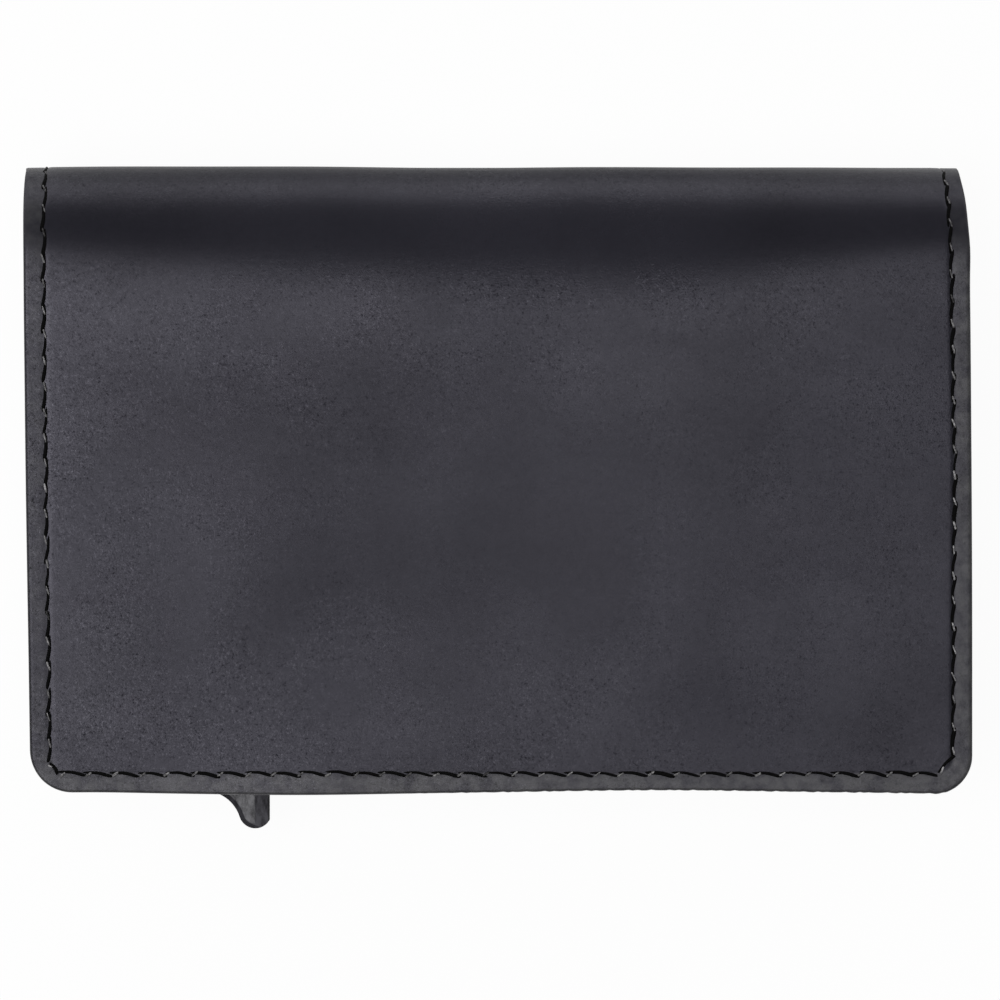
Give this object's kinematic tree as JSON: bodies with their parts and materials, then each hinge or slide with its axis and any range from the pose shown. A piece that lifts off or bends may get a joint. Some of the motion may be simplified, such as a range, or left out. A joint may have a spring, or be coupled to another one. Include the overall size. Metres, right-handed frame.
{
  "type": "card wallet",
  "caption": "Folded leather card wallet round a slim metal card case, with a sliding thumb trigger that fans the cards out of one end.",
  "frame": {"origin": "middle of the outer face of the back, where the wallet lies on a table", "axes": "+X along the length, towards the end that the cards leave by; +Y from the open edge to the spine; +Z out of the front"},
  "size_m": [0.1018, 0.0723, 0.0156],
  "materials": {
    "leather": "matt, fine grain",
    "lining": "smooth matt",
    "bonding_pad": "foam sheet",
    "magnet": "nickel plated",
    "case": "anodised, satin",
    "case_plastic": "fine spark texture",
    "slider_plastic": "smooth",
    "steel": "satin",
    "trigger": "dark anodised, fine bead blast"
  },
  "bodies": {
    "back": {"back_cover": "leather", "back_lining": "lining", "bonding_pad": "bonding_pad", "case_shell": "case", "rear_cap": "case_plastic", "mouth_frame": "case_plastic", "guide_rail": "slider_plastic", "pressure_spring": "steel", "keeper_plate_left": "steel", "keeper_plate_right": "steel"},
    "spine": {"spine_cover": "leather", "spine_lining": "lining"},
    "flap": {"front_cover": "leather", "front_lining": "lining", "card_pocket_tall": "lining", "card_pocket_short": "lining", "flap_magnet_left": "magnet", "flap_magnet_right": "magnet"},
    "slider": {"ejector": "slider_plastic", "trigger": "trigger", "trigger_pin": "steel"}
  },
  "joints": [
    {"name": "spine_fold", "type": "hinge", "parent": "back", "child": "spine", "pos_m": [0, 0.03244, 0.00161], "axis": [-1, 0, 0], "range_deg": [0, 90]},
    {"name": "flap_fold", "type": "hinge", "parent": "spine", "child": "flap", "pos_m": [0, 0.03244, 0.01399], "axis": [-1, 0, 0], "range_deg": [0, 90]},
    {"name": "trigger_slide", "type": "slide", "parent": "back", "child": "slider", "axis": [1, 0, 0], "range_m": [0, 0.022]}
  ],
  "couplings": [
    {"joint": "flap_fold", "follows": "spine_fold", "ratio": 1}
  ]
}
